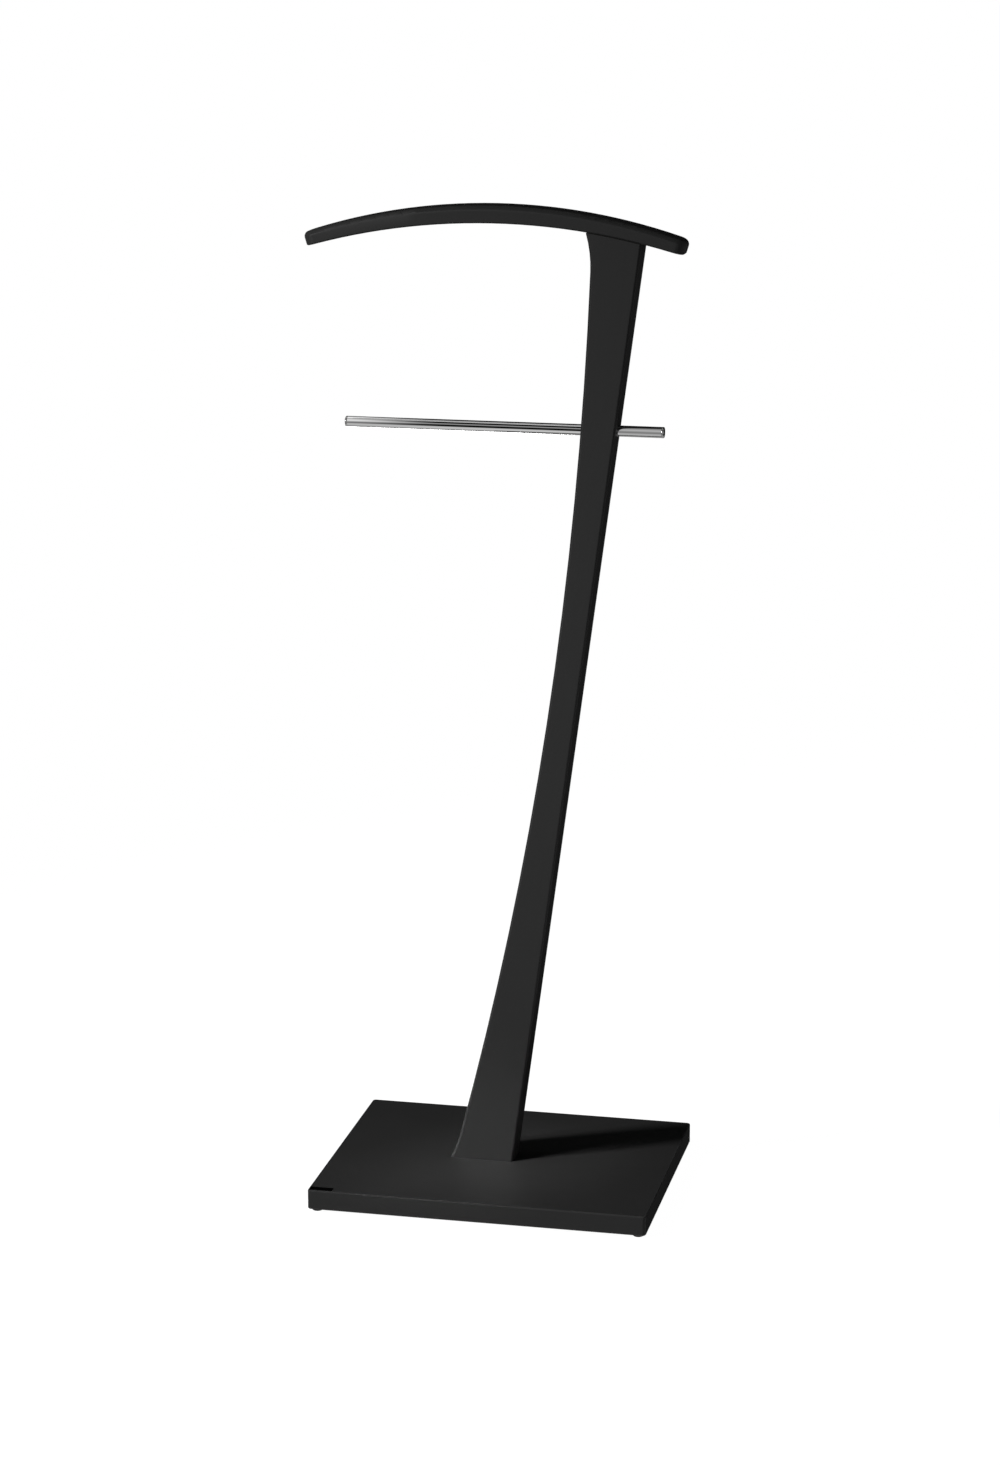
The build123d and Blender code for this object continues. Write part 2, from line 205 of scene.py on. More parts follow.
class ValetStage(bpy.types.PropertyGroup):
    """Camera, lights and floor."""

    azimuth: angle("Azimuth", "Camera's turn to the right of straight ahead", 12.23)
    elevation: angle("Elevation", "Camera's height angle", 14.24)
    distance: amount("Distance", "From the aim", 4.03, "LENGTH")
    lens: amount("Lens", "In millimetres, for a 36 mm sensor", 89.67, "CAMERA")
    aim: offset("Aim", "Where the camera points, from the stand's middle", (0.005, 0.0015, -0.0297))
    key_aim: offset("Key aim", "Where the key light points, from the board's top", (-0.01, -0.1, 0))
    key_azimuth: angle("Key azimuth", "Key light's turn to the left of straight ahead", 58.0)
    key_elevation: angle("Key elevation", "Key light's height angle", 40.0)
    key_spread: angle("Key spread", "Angle of the key light's grid", 52.0)
    key_distance: amount("Key distance", "From its aim", 3.0, "LENGTH")
    key_size: amount("Key size", "Side of the softbox", 0.3, "LENGTH")
    key_power: amount("Key power", "Of the key light", 10.6, "POWER")
    pool_aim: offset(
        "Pool aim", "Where the small light points, from the board's top", (-0.0195, -0.041, 0)
    )
    pool_azimuth: angle("Pool azimuth", "Small light's turn to the left of straight ahead", 48.0)
    pool_elevation: angle("Pool elevation", "Small light's height angle", 43.0)
    pool_spread: angle("Pool spread", "Angle of the small light's grid", 8.0)
    pool_distance: amount("Pool distance", "From its aim", 2.0, "LENGTH")
    pool_size: amount("Pool size", "Side of the small light", 0.05, "LENGTH")
    pool_power: amount("Pool power", "Of the small light", 0.095, "POWER")
    back_azimuth: angle("Back azimuth", "Back fill's turn to the right of straight ahead", 200.0)
    back_elevation: angle("Back elevation", "Back fill's height angle, through the floor", -25.0)
    back_distance: amount("Back distance", "From the stand's middle", 4.0, "LENGTH")
    back_size: amount("Back size", "Side of the softbox", 1.0, "LENGTH")
    back_power: amount("Back power", "Of the back fill", 40.0, "POWER")
    room_light: amount("Room light", "Strength of the softboxes, the strip and the floor", 1.7)
    row_middle: amount("Row middle", "Sideways part of the row's direction", -0.207)
    row_half: amount("Row half", "Half of the row's width, as a part of a direction", 0.055)
    front_screen: share("Front screen", "Strength of the grey screen in front", 0.55)
    right_screen: share("Right screen", "Strength of the grey screen on the right", 0.42)
    floor_size: amount("Floor", "Radius of the floor", 30.0, "LENGTH")


# ---------------------------------------------------------------- materials


def linear(colour):
    """Scene-linear RGBA of an sRGB hex value."""
    channels = [int(colour[i : i + 2], 16) / 255 for i in (0, 2, 4)]
    return [c / 12.92 if c <= 0.04045 else ((c + 0.055) / 1.055) ** 2.4 for c in channels] + [1.0]


def add(tree, kind, sockets=None, **settings):
    """Add a node: its settings, and sockets given as values or as the sockets that feed them."""
    node = tree.nodes.new(kind)
    for name, value in settings.items():
        setattr(node, name, value)
    for name, value in (sockets or {}).items():
        if isinstance(value, bpy.types.NodeSocket):
            tree.links.new(value, node.inputs[name])
        else:
            node.inputs[name].default_value = value
    return node


def new_material(name):
    """A node material, with its tree still empty."""
    material = bpy.data.materials.new(name)
    material.use_nodes = True
    tree = material.node_tree
    tree.nodes.clear()
    return material, tree


def finished(material, surface):
    """The material, once its shader has the sockets that make its surface."""
    shader = add(material.node_tree, "ShaderNodeBsdfPrincipled", surface)
    add(material.node_tree, "ShaderNodeOutputMaterial", {"Surface": shader.outputs[0]})
    return material


def in_sizes(tree, sizes, turn=(0, 0, 0)):
    """Object coordinates, turned, then counted in a pattern's real size along each axis."""
    place = add(tree, "ShaderNodeTexCoord")
    facing = add(tree, "ShaderNodeMapping", {"Vector": place.outputs["Object"], "Rotation": turn})
    scale = [1 / size for size in sizes]
    return add(tree, "ShaderNodeMapping", {"Vector": facing.outputs[0], "Scale": scale}).outputs[0]


def toned(colour, factor):
    """A linear colour made darker or lighter."""
    return [channel * factor for channel in colour]


def satin_lacquer(name, turn):
    """Black satin lacquer sprayed on close-grained wood, whose grain runs along X before the turn.

    It is an even black with a broad soft sheen. Under it the wood's lines show as a faint relief,
    and the sprayed coat has a slight ripple, coarser than real so that it shows. Sanding between
    coats and use leave the rounded edges a little duller than the flats.
    """
    finish = bpy.context.scene.valet_finish
    material, tree = new_material(name)
    grain_sizes = (finish.grain_length, finish.grain_width, finish.grain_width)
    grain_space = in_sizes(tree, grain_sizes, turn)
    grain = add(
        tree,
        "ShaderNodeTexNoise",
        {"Vector": grain_space, "Scale": 1.0, "Detail": 3.0, "Roughness": 0.6},
    )
    peel_space = in_sizes(tree, (finish.peel_size,) * 3)
    peel = add(tree, "ShaderNodeTexNoise", {"Vector": peel_space, "Scale": 1.0, "Detail": 1.0})
    cloud_space = in_sizes(tree, (finish.cloud_size,) * 3)
    cloud = add(tree, "ShaderNodeTexNoise", {"Vector": cloud_space, "Scale": 1.0, "Detail": 2.0})
    black = linear(finish.lacquer)
    tint = add(
        tree,
        "ShaderNodeMix",
        {"Factor": grain.outputs["Fac"], "A": toned(black, 0.85), "B": toned(black, 1.15)},
        data_type="RGBA",
    )
    flat = add(
        tree,
        "ShaderNodeMapRange",
        {
            "Value": cloud.outputs["Fac"],
            "From Min": NOISE_LOW,
            "From Max": NOISE_HIGH,
            "To Min": finish.lacquer_roughness - finish.cloud_depth,
            "To Max": finish.lacquer_roughness + finish.cloud_depth,
        },
    )
    eased = add(tree, "ShaderNodeAttribute", attribute_name="eased")
    rough = add(
        tree,
        "ShaderNodeMath",
        {0: eased.outputs["Fac"], 1: finish.rubbing, 2: flat.outputs[0]},
        operation="MULTIPLY_ADD",
        use_clamp=True,
    )
    relief = add(
        tree,
        "ShaderNodeBump",
        {"Height": grain.outputs["Fac"], "Distance": finish.grain_depth},
    )
    ripple = add(
        tree,
        "ShaderNodeBump",
        {
            "Height": peel.outputs["Fac"],
            "Distance": finish.peel_depth,
            "Normal": relief.outputs[0],
        },
    )
    return finished(
        material,
        {
            "Base Color": tint.outputs["Result"],
            "Roughness": rough.outputs[0],
            "Normal": ripple.outputs[0],
            "IOR": 1.5,
        },
    )


def polished_chrome(name):
    """Decorative chrome plate on polished steel: a clear, neutral mirror.

    Polishing leaves hair lines along the piece, which only break the reflections a little. They are
    drawn far coarser than real, so that they show at all.
    """
    finish = bpy.context.scene.valet_finish
    material, tree = new_material(name)
    hair_space = in_sizes(tree, (finish.hair_length, finish.hair_width, finish.hair_width))
    hair = add(tree, "ShaderNodeTexNoise", {"Vector": hair_space, "Scale": 1.0, "Detail": 2.0})
    rough = add(
        tree,
        "ShaderNodeMapRange",
        {
            "Value": hair.outputs["Fac"],
            "From Min": NOISE_LOW,
            "From Max": NOISE_HIGH,
            "To Min": 0.7 * finish.chrome_roughness,
            "To Max": 1.3 * finish.chrome_roughness,
        },
    )
    return finished(
        material,
        {
            "Base Color": linear(finish.chrome),
            "Metallic": 1.0,
            "Roughness": rough.outputs[0],
        },
    )


def bright_zinc(name):
    """Bright zinc plate on steel: grey with a faint cloudy bloom and a fairly soft shine."""
    finish = bpy.context.scene.valet_finish
    material, tree = new_material(name)
    bloom_space = in_sizes(tree, (finish.bloom_size,) * 3)
    bloom = add(tree, "ShaderNodeTexNoise", {"Vector": bloom_space, "Scale": 1.0, "Detail": 3.0})
    zinc = linear(finish.zinc)
    tint = add(
        tree,
        "ShaderNodeMix",
        {"Factor": bloom.outputs["Fac"], "A": toned(zinc, 0.8), "B": zinc},
        data_type="RGBA",
    )
    rough = add(
        tree,
        "ShaderNodeMapRange",
        {"Value": bloom.outputs["Fac"], "To Min": 0.22, "To Max": 0.42},
    )
    return finished(
        material,
        {
            "Base Color": tint.outputs["Result"],
            "Metallic": 1.0,
            "Roughness": rough.outputs[0],
        },
    )


def turned_brass(name):
    """Free-turning brass: warm yellow, with the lathe's fine rings across it."""
    finish = bpy.context.scene.valet_finish
    material, tree = new_material(name)
    ring_space = in_sizes(tree, (finish.ring_length, finish.ring_length, finish.ring_width))
    rings = add(tree, "ShaderNodeTexNoise", {"Vector": ring_space, "Scale": 1.0, "Detail": 1.0})
    brass = linear(finish.brass)
    tint = add(
        tree,
        "ShaderNodeMix",
        {"Factor": rings.outputs["Fac"], "A": toned(brass, 0.85), "B": brass},
        data_type="RGBA",
    )
    relief = add(
        tree,
        "ShaderNodeBump",
        {"Height": rings.outputs["Fac"], "Distance": finish.ring_depth},
    )
    return finished(
        material,
        {
            "Base Color": tint.outputs["Result"],
            "Metallic": 1.0,
            "Roughness": 0.3,
            "Normal": relief.outputs[0],
        },
    )


def moulded_nylon(name):
    """Black nylon from a spark-eroded mould: a dull skin with an even pebble, drawn coarse."""
    finish = bpy.context.scene.valet_finish
    material, tree = new_material(name)
    pebble_space = in_sizes(tree, (finish.pebble_size,) * 3)
    pebble = add(tree, "ShaderNodeTexNoise", {"Vector": pebble_space, "Scale": 1.0, "Detail": 1.0})
    nylon = linear(finish.nylon)
    tint = add(
        tree,
        "ShaderNodeMix",
        {"Factor": pebble.outputs["Fac"], "A": toned(nylon, 0.8), "B": toned(nylon, 1.2)},
        data_type="RGBA",
    )
    relief = add(
        tree,
        "ShaderNodeBump",
        {"Height": pebble.outputs["Fac"], "Distance": finish.pebble_depth},
    )
    return finished(
        material,
        {
            "Base Color": tint.outputs["Result"],
            "Roughness": 0.55,
            "IOR": 1.53,
            "Normal": relief.outputs[0],
        },
    )


def bare_beech(name):
    """Bare beech: pale pinkish brown, straight-grained, with short darker flecks along it."""
    finish = bpy.context.scene.valet_finish
    material, tree = new_material(name)
    fleck_space = in_sizes(tree, (finish.fleck_width, finish.fleck_width, finish.fleck_length))
    flecks = add(tree, "ShaderNodeTexNoise", {"Vector": fleck_space, "Scale": 1.0, "Detail": 2.0})
    beech = linear(finish.beech)
    tint = add(
        tree,
        "ShaderNodeMix",
        {"Factor": flecks.outputs["Fac"], "A": toned(beech, 0.55), "B": toned(beech, 1.1)},
        data_type="RGBA",
    )
    relief = add(
        tree,
        "ShaderNodeBump",
        {"Height": flecks.outputs["Fac"], "Distance": finish.fleck_depth},
    )
    return finished(
        material,
        {
            "Base Color": tint.outputs["Result"],
            "Roughness": 0.65,
            "IOR": 1.45,
            "Normal": relief.outputs[0],
        },
    )


def gloss_film(name):
    """Gloss self-adhesive film: a deep black that mirrors the dark room, a little uneven."""
    finish = bpy.context.scene.valet_finish
    material, tree = new_material(name)
    tooth_space = in_sizes(tree, (finish.tooth_size,) * 3)
    tooth = add(tree, "ShaderNodeTexNoise", {"Vector": tooth_space, "Scale": 1.0, "Detail": 1.0})
    rough = add(
        tree,
        "ShaderNodeMapRange",
        {"Value": tooth.outputs["Fac"], "To Min": 0.1, "To Max": 0.2},
    )
    return finished(
        material,
        {
            "Base Color": linear(finish.film),
            "Roughness": rough.outputs[0],
            "IOR": 1.45,
        },
    )


# ---------------------------------------------------------------- making pieces


def middle(node):
    """The middle of a CAD node's box."""
    low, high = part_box(node)
    return (low + high) / 2


def extent(node):
    """The size of a CAD node's box."""
    low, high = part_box(node)
    return high - low


def slot_of(node):
    """The record's material slot of a CAD node."""
    return next(s["material_slot"] for s in frame["record"]["subparts"] if s["node"] == node)


def shade(mesh, material):
    """Smooth shading that leaves the sharp edges sharp."""
    mesh.materials.clear()
    mesh.materials.append(material)
    mesh.polygons.foreach_set("use_smooth", [True] * len(mesh.polygons))
    mesh.set_sharp_from_angle(angle=radians(SHARP))


def place_piece(bm, name, node, material):
    """Make a piece of the mesh, which is already in its place, and let it stand for a CAD node."""
    bmesh.ops.remove_doubles(bm, verts=bm.verts, dist=JOINED)
    bmesh.ops.recalc_face_normals(bm, faces=bm.faces)
    mesh = bpy.data.meshes.new(name)
    bm.to_mesh(mesh)
    bm.free()
    stored = mesh.attributes.get("custom_normal")
    if stored:
        # The node's own corner normals no longer fit once its points are joined.
        mesh.attributes.remove(stored)
    shade(mesh, material)
    piece = bpy.data.objects.new(name, mesh)
    bpy.context.scene.collection.objects.link(piece)
    weighted = piece.modifiers.new("flat_faces", "WEIGHTED_NORMAL")
    weighted.keep_sharp = True
    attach(piece, "root")
    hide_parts(node)


def dress(node, name, across, wear, material):
    """Let a joined-up copy of a CAD node, whose rounded edges shade smoothly, stand for the node.

    Its rounded edges, which turn away from the axis across its flats, are marked with their wear.
    """
    bm = bmesh.new()
    bm.from_mesh(frame["nodes"][node].data)
    bmesh.ops.remove_doubles(bm, verts=bm.verts, dist=JOINED)
    bm.normal_update()
    eased = bm.verts.layers.float.new("eased")
    for vert in bm.verts:
        squares = [face.normal[across] ** 2 for face in vert.link_faces]
        vert[eased] = wear * min(1, *(RUBBED_FROM * square * (1 - square) for square in squares))
    place_piece(bm, name, node, material)


def turned(profile, steps):
    """A closed profile of (radius, height) points, turned about Z."""
    bm = bmesh.new()
    verts = [bm.verts.new((radius, 0, height)) for radius, height in profile]
    edges = [bm.edges.new(pair) for pair in zip(verts, verts[1:] + verts[:1])]
    bmesh.ops.spin(
        bm,
        geom=verts + edges,
        cent=(0, 0, 0),
        axis=(0, 0, 1),
        angle=2 * pi,
        steps=steps,
        use_merge=True,
    )
    bmesh.ops.remove_doubles(bm, verts=bm.verts, dist=JOINED)
    bmesh.ops.recalc_face_normals(bm, faces=bm.faces)
    return bm


def on_circle(edge, radius, height):
    """Whether an edge lies on the circle of a radius about Z, at a height."""
    return all(
        abs(v.co.z - height) < NEAR and abs(v.co.xy.length - radius) < NEAR for v in edge.verts
    )


def ease(bm, radius, height, size, segments):
    """Round the turned edge that lies at a radius and a height."""
    bmesh.ops.bevel(
        bm,
        geom=[edge for edge in bm.edges if on_circle(edge, radius, height)],
        offset=size,
        segments=segments,
        profile=0.5,
        affect="EDGES",
        material=-1,
    )


def flat_end(bm, height):
    """The faces of the flat end at a height."""
    return [f for f in bm.faces if all(abs(v.co.z - height) < NEAR for v in f.verts)]


def sink(bm, height, planes, inside, depth):
    """Sink a recess into the flat end at a height.

    The planes cut its outline into the end, and inside says which of the faces are its floor.
    """
    for point, normal in planes:
        flat = flat_end(bm, height)
        verts = [v for f in flat for v in f.verts]
        edges = [e for f in flat for e in f.edges]
        bmesh.ops.bisect_plane(
            bm,
            geom=list(dict.fromkeys(verts + edges + flat)),
            dist=ON_CUT,
            plane_co=point,
            plane_no=normal,
        )
    floor = [f for f in flat_end(bm, height) if inside(f.calc_center_median())]
    walls = bmesh.ops.extrude_face_region(bm, geom=floor)["geom"]
    moved = [v for v in walls if isinstance(v, bmesh.types.BMVert)]
    bmesh.ops.delete(bm, geom=floor, context="FACES_ONLY")
    bmesh.ops.translate(bm, verts=moved, vec=(0, 0, depth))


def hexagon(across_flats):
    """Planes round a hexagon about Z, and the test of what lies inside it."""
    normals = [Vector((cos(k * pi / 3), sin(k * pi / 3), 0)) for k in range(6)]
    half = across_flats / 2
    planes = [(normal * half, normal) for normal in normals]
    return planes, lambda point: all(point.dot(normal) < half for normal in normals)


def cross(tip, half_width):
    """Planes round a cross about Z, whose arms end at the tip, and the test of what lies inside."""
    planes = []
    for direction in (Vector((1, 0, 0)), Vector((0, 1, 0))):
        for distance in (-tip, -half_width, half_width, tip):
            planes.append((direction * distance, direction))

    def inside(point):
        across, along = sorted((abs(point.x), abs(point.y)))
        return across < half_width and along < tip

    return planes, inside


def threaded(bm, radius, pitch, low, high):
    """Add a thread's ridge round a core: a triangle turned and lifted along Z."""
    depth = THREAD_DEPTH * pitch
    turns = (high - low) / pitch - 1
    land = THREAD_LAND * pitch
    profile = [
        (radius - depth, low + land / 2),
        (radius, low + pitch / 2),
        (radius - depth, low + pitch - land / 2),
    ]
    verts = [bm.verts.new((r, 0, z)) for r, z in profile]
    ridge = [bm.faces.new(verts)]
    bmesh.ops.spin(
        bm,
        geom=ridge,
        cent=(0, 0, 0),
        axis=(0, 0, 1),
        dvec=(0, 0, pitch / THREAD_STEPS),
        angle=2 * pi * turns,
        steps=round(THREAD_STEPS * turns),
        use_merge=False,
    )


# ---------------------------------------------------------------- studio

# The brightness that the stand sees at each angle, from behind (-180 degrees) under it (-90) to
# the front (0), over it (90) and back to behind. The first three columns are the narrow row of
# softboxes and gaps that the bar mirrors to the front: its left end, its middle and its right end.
# In the middle, the dark gap in front is the room past the floor's far edge, and the one round 55
# parts two softboxes. The last column is the rest of the room: the pale floor, and a thin strip
# light overhead.
ROOM = (
    (-180, 0.0, 0.0, 0.0, 0.0),
    (-140, 0.28, 0.12, 0.28, 0.0),
    (-124, 0.34, 0.17, 0.33, 0.4),
    (-104, 0.28, 0.22, 0.24, 0.45),
    (-80, 0.34, 0.46, 0.34, 0.3),
    (-56, 0.47, 0.56, 0.43, 0.0),
    (-40, 0.46, 0.56, 0.39, 0.0),
    (-26, 0.38, 0.32, 0.28, 0.0),
    (-19, 0.22, 0.0, 0.18, 0.0),
    (-9, 0.14, 0.0, 0.2, 0.0),
    (9, 0.36, 0.0, 0.29, 0.0),
    (17, 0.46, 0.14, 0.34, 0.0),
    (28, 0.78, 0.34, 0.45, 0.0),
    (36, 0.8, 0.2, 0.45, 0.0),
    (43, 0.8, 0.0, 0.4, 0.0),
    (54, 0.66, 0.0, 0.33, 0.0),
    (69, 0.4, 0.0, 0.24, 0.0),
    (75, 0.38, 0.28, 0.22, 0.0),
    (82, 0.5, 0.8, 0.18, 0.0),
    (92, 0.85, 1.0, 0.06, 0.5),
    (99, 1.0, 0.66, 0.03, 0.0),
    (109, 0.85, 0.16, 0.02, 0.0),
    (120, 0.66, 0.0, 0.01, 0.0),
    (130, 0.46, 0.0, 0.0, 0.0),
    (139, 0.0, 0.0, 0.0, 0.0),
)

# Parts of a direction between which the studio's softboxes and screens fade in or out.
ROW_LEFT = (-0.252, -0.225)  # X, from the row's left end to its middle
ROW_RIGHT = (-0.186, -0.176)  # X, from the row's middle to its right end
ROW_EDGE = (0.8, 1.2)  # X from the row's middle, in halves of its width
FAR_SIDES = (0.75, 0.95)  # X, left or right, where the floor and the strip light end
FRONT_EDGE = (0.4, 1.0)  # -Y
RIGHT_EDGE = (0.45, 1.0)  # X
SCREEN_HEIGHT = (0.1, 0.6)  # Z, up or down
FLOOR_EDGE = (-0.5, -0.1)  # Z, under which the floor hides the right screen
WHITE = 1.1  # just past white, for the floor and the surround
PAPER_GLOW = 0.9  # how much of the floor's look is its own even white, and not the light on it
SMOOTH = {"interpolation_type": "SMOOTHSTEP"}  # for what fades in or out


def heading(azimuth, elevation):
    """The direction that lies that far to the right of the front, and that far up."""
    return Vector((sin(azimuth) * cos(elevation), -cos(azimuth) * cos(elevation), sin(elevation)))


def softbox(name, aim, direction, distance, size, power, spread=pi):
    """A square soft light that looks at the aim from a direction, and that no camera sees."""
    light = bpy.data.objects.new(name, bpy.data.lights.new(name, "AREA"))
    light.data.size = size
    light.data.energy = power
    light.data.spread = spread
    light.location = aim + direction * distance
    light.rotation_euler = direction.to_track_quat("Z", "Y").to_euler()
    light.visible_camera = False
    bpy.context.scene.collection.objects.link(light)


def viewpoint(stage, centre):
    """The camera, which looks at a point near the stand's middle."""
    camera = bpy.data.objects.new("camera", bpy.data.cameras.new("camera"))
    bpy.context.scene.collection.objects.link(camera)
    camera.data.lens = stage.lens
    away = heading(stage.azimuth, stage.elevation)
    camera.location = centre + Vector(stage.aim) + away * stage.distance
    camera.rotation_euler = away.to_track_quat("Z", "Y").to_euler()
    bpy.context.scene.camera = camera


def paper_floor(stage):
    """White paper on the floor, which the camera sees and the stand doesn't."""
    bm = bmesh.new()
    bmesh.ops.create_circle(bm, cap_ends=True, segments=64, radius=stage.floor_size)
    mesh = bpy.data.meshes.new("floor")
    bm.to_mesh(mesh)
    bm.free()
    material, tree = new_material("white_paper")
    paper = add(tree, "ShaderNodeBsdfDiffuse", {"Color": linear("F4F4F4")})
    glow = add(tree, "ShaderNodeEmission", {"Color": linear("FFFFFF"), "Strength": WHITE})
    mix = add(
        tree,
        "ShaderNodeMixShader",
        {0: PAPER_GLOW, 1: paper.outputs[0], 2: glow.outputs[0]},
    )
    add(tree, "ShaderNodeOutputMaterial", {"Surface": mix.outputs[0]})
    mesh.materials.append(material)
    floor = bpy.data.objects.new("floor", mesh)
    bpy.context.scene.collection.objects.link(floor)
    floor.visible_glossy = False
    floor.visible_diffuse = False
    floor.visible_shadow = False


def room_by_angle(tree, parts, front):
    """The ROOM table as a colour ramp, read by a direction's angle about the X axis."""
    around = add(
        tree,
        "ShaderNodeMath",
        {0: parts.outputs["Z"], 1: front.outputs[0]},
        operation="ARCTAN2",
    )
    turn = add(
        tree,
        "ShaderNodeMath",
        {0: around.outputs[0], 1: 1 / (2 * pi), 2: 0.5},
        operation="MULTIPLY_ADD",
    )
    ramp = add(tree, "ShaderNodeValToRGB", {"Fac": turn.outputs[0]})
    stops = ramp.color_ramp.elements
    while len(stops) < len(ROOM):
        stops.new(0.5)
    for stop, (degrees, *brightness) in zip(stops, ROOM):
        stop.position = (degrees + 180) / 360
        stop.color = brightness
    return ramp


def softbox_row(tree, parts, ramp, strength):
    """The brightness of the row of softboxes, whose two ends differ from its middle."""
    columns = add(tree, "ShaderNodeSeparateColor", {"Color": ramp.outputs["Color"]})
    past_left = add(
        tree,
        "ShaderNodeMapRange",
        {"Value": parts.outputs["X"], "From Min": ROW_LEFT[0], "From Max": ROW_LEFT[1]},
        **SMOOTH,
    )
    past_middle = add(
        tree,
        "ShaderNodeMapRange",
        {"Value": parts.outputs["X"], "From Min": ROW_RIGHT[0], "From Max": ROW_RIGHT[1]},
        **SMOOTH,
    )
    left_part = add(
        tree,
        "ShaderNodeMix",
        {
            "Factor": past_left.outputs["Result"],
            "A": columns.outputs[0],
            "B": columns.outputs[1],
        },
    )
    whole_row = add(
        tree,
        "ShaderNodeMix",
        {
            "Factor": past_middle.outputs["Result"],
            "A": left_part.outputs[0],
            "B": columns.outputs[2],
        },
    )
    row = add(
        tree,
        "ShaderNodeMath",
        {0: whole_row.outputs[0], 1: strength},
        operation="MULTIPLY",
    )
    return row.outputs[0]


def off_the_row(tree, parts, middle, half):
    """How far a direction has left the row, from 0 to 1."""
    aside = add(
        tree,
        "ShaderNodeMath",
        {0: parts.outputs["X"], 1: middle},
        operation="SUBTRACT",
    )
    distance = add(tree, "ShaderNodeMath", {0: aside.outputs[0]}, operation="ABSOLUTE")
    left_it = add(
        tree,
        "ShaderNodeMapRange",
        {
            "Value": distance.outputs[0],
            "From Min": ROW_EDGE[0] * half,
            "From Max": ROW_EDGE[1] * half,
        },
        **SMOOTH,
    )
    return left_it.outputs["Result"]


def grey_screens(tree, parts, front, stage):
    """The grey screens in front and on the right, which end above and below the stand."""
    ahead = add(
        tree,
        "ShaderNodeMapRange",
        {
            "Value": front.outputs[0],
            "From Min": FRONT_EDGE[0],
            "From Max": FRONT_EDGE[1],
            "To Max": stage.front_screen,
        },
        **SMOOTH,
    )
    on_right = add(
        tree,
        "ShaderNodeMapRange",
        {
            "Value": parts.outputs["X"],
            "From Min": RIGHT_EDGE[0],
            "From Max": RIGHT_EDGE[1],
            "To Max": stage.right_screen,
        },
        **SMOOTH,
    )
    above_floor = add(
        tree,
        "ShaderNodeMapRange",
        {"Value": parts.outputs["Z"], "From Min": FLOOR_EDGE[0], "From Max": FLOOR_EDGE[1]},
        **SMOOTH,
    )
    both = add(
        tree,
        "ShaderNodeMath",
        {
            0: on_right.outputs["Result"],
            1: above_floor.outputs["Result"],
            2: ahead.outputs["Result"],
        },
        operation="MULTIPLY_ADD",
    )
    height = add(tree, "ShaderNodeMath", {0: parts.outputs["Z"]}, operation="ABSOLUTE")
    level = add(
        tree,
        "ShaderNodeMapRange",
        {
            "Value": height.outputs[0],
            "From Min": SCREEN_HEIGHT[0],
            "From Max": SCREEN_HEIGHT[1],
            "To Min": 1.0,
            "To Max": 0.0,
        },
        **SMOOTH,
    )
    screens = add(
        tree,
        "ShaderNodeMath",
        {0: both.outputs[0], 1: level.outputs["Result"]},
        operation="MULTIPLY",
    )
    return screens.outputs[0]


def surroundings(tree, parts, ramp, screens, strength):
    """The floor and the strip light overhead, which end at the far sides, with the screens."""
    sideways = add(tree, "ShaderNodeMath", {0: parts.outputs["X"]}, operation="ABSOLUTE")
    between = add(
        tree,
        "ShaderNodeMapRange",
        {
            "Value": sideways.outputs[0],
            "From Min": FAR_SIDES[0],
            "From Max": FAR_SIDES[1],
            "To Min": strength,
            "To Max": 0.0,
        },
        **SMOOTH,
    )
    whole = add(
        tree,
        "ShaderNodeMath",
        {0: ramp.outputs["Alpha"], 1: between.outputs["Result"], 2: screens},
        operation="MULTIPLY_ADD",
    )
    return whole.outputs[0]


def studio_room(stage):
    """The studio as the stand sees it, and a white surround as the camera sees it.

    The stand sees a grey screen in front, one on the right and the row of softboxes between them.
    """
    world = bpy.data.worlds.new("studio")
    bpy.context.scene.world = world
    world.use_nodes = True
    tree = world.node_tree
    tree.nodes.clear()
    direction = add(tree, "ShaderNodeTexCoord").outputs["Generated"]
    parts = add(tree, "ShaderNodeSeparateXYZ", {"Vector": direction})
    front = add(tree, "ShaderNodeMath", {0: parts.outputs["Y"], 1: -1.0}, operation="MULTIPLY")
    ramp = room_by_angle(tree, parts, front)
    row = softbox_row(tree, parts, ramp, stage.room_light)
    off_row = off_the_row(tree, parts, stage.row_middle, stage.row_half)
    screens = grey_screens(tree, parts, front, stage)
    rest = surroundings(tree, parts, ramp, screens, stage.room_light)
    whole = add(tree, "ShaderNodeMix", {"Factor": off_row, "A": row, "B": rest})
    room = add(
        tree,
        "ShaderNodeBackground",
        {"Color": linear("FFFFFF"), "Strength": whole.outputs[0]},
    )
    white = add(tree, "ShaderNodeBackground", {"Color": linear("FFFFFF"), "Strength": WHITE})
    rays = add(tree, "ShaderNodeLightPath")
    mix = add(
        tree,
        "ShaderNodeMixShader",
        {0: rays.outputs["Is Camera Ray"], 1: room.outputs[0], 2: white.outputs[0]},
    )
    add(tree, "ShaderNodeOutputWorld", {"Surface": mix.outputs[0]})


# ---------------------------------------------------------------- operators


class ValetOperator(bpy.types.Operator):
    """Base of the operators, which can all be undone."""

    bl_options = {"REGISTER", "UNDO"}


class VALET_OT_woodwork(ValetOperator):
    """Dress the board, the stem and the hanger in satin lacquer"""

    bl_idname = "valet.woodwork"
    bl_label = "Woodwork"

    def execute(self, context):
        lean = extent("stem").x / extent("stem").z
        # The axis across each piece's flats, its edges' wear, and the turn of its grain.
        woodwork = {
            "base_board": (2, 1.0, (0, 0, 0)),
            "stem": (1, 1.0, (0, pi / 2 - lean, 0)),
            "hanger": (1, 0.8, (0, 0, 0)),
        }
        for node, (across, wear, turn) in woodwork.items():
            dress(node, node + "_lacquered", across, wear, satin_lacquer("lacquer_" + node, turn))
        return {"FINISHED"}


